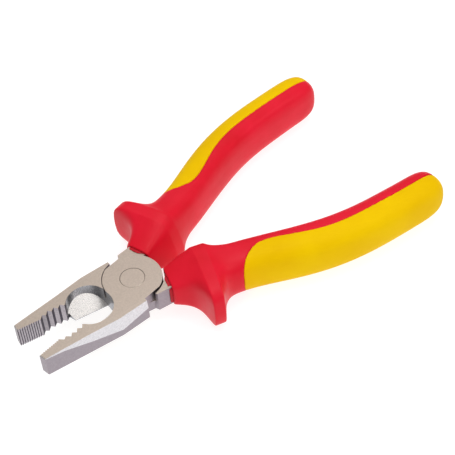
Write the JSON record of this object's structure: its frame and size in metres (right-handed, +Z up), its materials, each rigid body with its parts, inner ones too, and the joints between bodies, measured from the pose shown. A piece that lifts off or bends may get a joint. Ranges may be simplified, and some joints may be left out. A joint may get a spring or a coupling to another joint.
{
  "type": "lineman pliers",
  "caption": "Insulated lineman pliers with lap joint, gripping tip, pipe grip, side cutter and two-colour guarded handles.",
  "frame": {"origin": "on the pivot axis at the lower ground face of the head", "axes": "+X from the pivot to the jaw tips along the centre plane, +Z up along the pivot axis, jaws 18 degrees open at rest"},
  "size_m": [0.1723, 0.095, 0.0226],
  "materials": {
    "forged_steel": "ground steel, fine grinding lines, satin",
    "rivet_steel": "ground steel, flush rivet",
    "sleeve_plastic": "hard insulating sleeve, red",
    "grip_body_plastic": "satin moulded plastic, red",
    "grip_inlay_plastic": "soft matte inlay, yellow"
  },
  "bodies": {
    "half_a": {"forged_half_a": "forged_steel", "joint_rivet": "rivet_steel", "tang_sleeve_a": "sleeve_plastic", "grip_body_a": "grip_body_plastic", "grip_inlay_a": "grip_inlay_plastic"},
    "half_b": {"forged_half_b": "forged_steel", "tang_sleeve_b": "sleeve_plastic", "grip_body_b": "grip_body_plastic", "grip_inlay_b": "grip_inlay_plastic"}
  },
  "joints": [
    {"name": "jaw_pivot", "type": "hinge", "parent": "half_a", "child": "half_b", "pos_m": [0, 0, 0.0047], "axis": [0, 0, 1], "range_deg": [-19, 18]}
  ]
}
